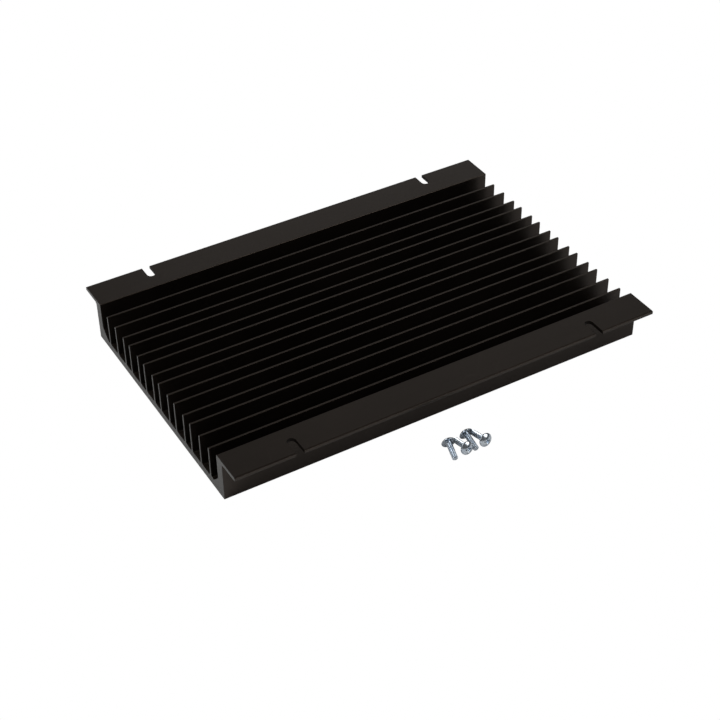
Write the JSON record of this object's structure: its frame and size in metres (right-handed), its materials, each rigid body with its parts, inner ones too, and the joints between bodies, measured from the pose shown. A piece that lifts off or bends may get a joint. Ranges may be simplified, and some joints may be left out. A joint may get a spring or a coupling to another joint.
{
  "type": "heat sink kit for servo drive",
  "caption": "Black finned heat sink with a flat seat for a servo drive, slotted flanges for a panel, and loose domed cross-recess screws beside it.",
  "frame": {"origin": "centre of the heat sink's flat underside, where the drive is seated", "axes": "+X along the fins, +Y across them, +Z from the drive seat up to the flange faces"},
  "size_m": [0.242, 0.1929, 0.0244],
  "materials": {
    "black_anodised": "black anodised, satin, with sawn ends",
    "zinc_plated": "bright blue-passivated zinc plating"
  },
  "bodies": {
    "heat_sink": {"heat_sink": "black_anodised"},
    "screw_1": {"screw_1": "zinc_plated"},
    "screw_2": {"screw_2": "zinc_plated"},
    "screw_3": {"screw_3": "zinc_plated"},
    "screw_4": {"screw_4": "zinc_plated"}
  },
  "joints": [
    {"name": "screw_1_draw", "type": "slide", "parent": "heat_sink", "child": "screw_1", "axis": [0.2197, 0.9517, 0.2147], "range_m": [0, 0.014]},
    {"name": "screw_2_draw", "type": "slide", "parent": "heat_sink", "child": "screw_2", "axis": [0.0341, -0.9761, 0.2147], "range_m": [0, 0.014]},
    {"name": "screw_3_draw", "type": "slide", "parent": "heat_sink", "child": "screw_3", "axis": [0.0426, 0.9758, 0.2147], "range_m": [0, 0.014]},
    {"name": "screw_4_draw", "type": "slide", "parent": "heat_sink", "child": "screw_4", "axis": [0.0851, -0.973, 0.2147], "range_m": [0, 0.014]}
  ]
}
